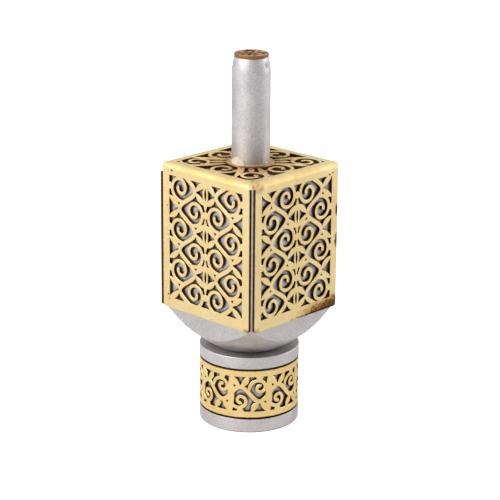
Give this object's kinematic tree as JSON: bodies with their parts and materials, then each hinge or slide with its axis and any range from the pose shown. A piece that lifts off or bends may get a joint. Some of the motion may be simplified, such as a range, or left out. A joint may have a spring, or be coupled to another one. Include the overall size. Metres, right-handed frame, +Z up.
{
  "type": "dreidel with stand",
  "caption": "Square metal spinning top with a round finger stem and a domed point, dressed in cut brass scrollwork, standing in a short round holder with a matching brass band.",
  "frame": {"origin": "middle of the flat underside of the stand", "axes": "+Z up along the axis of the stem and stand; the block's faces look along X and Y"},
  "size_m": [0.0326, 0.0326, 0.097],
  "materials": {
    "satin_aluminium": "satin, fine turned and sanded grain",
    "cut_brass": "flat brushed faces, dark brown cut edges",
    "brown_brass": "tarnished copper brown",
    "pin_steel": "ground"
  },
  "bodies": {
    "stand": {"stand_cup": "satin_aluminium", "stand_band": "cut_brass"},
    "pin": {"stem_dowel": "pin_steel"},
    "dreidel": {"turned_block": "satin_aluminium", "stem": "satin_aluminium", "stem_cap": "brown_brass", "fretwork_cover": "cut_brass"}
  },
  "joints": [
    {"name": "lift", "type": "slide", "parent": "stand", "child": "pin", "axis": [0, 0, 1], "range_m": [0, 0.03]},
    {"name": "spin", "type": "hinge", "parent": "pin", "child": "dreidel", "pos_m": [0, 0, 0.0683], "axis": [0, 0, 1], "continuous": true}
  ]
}
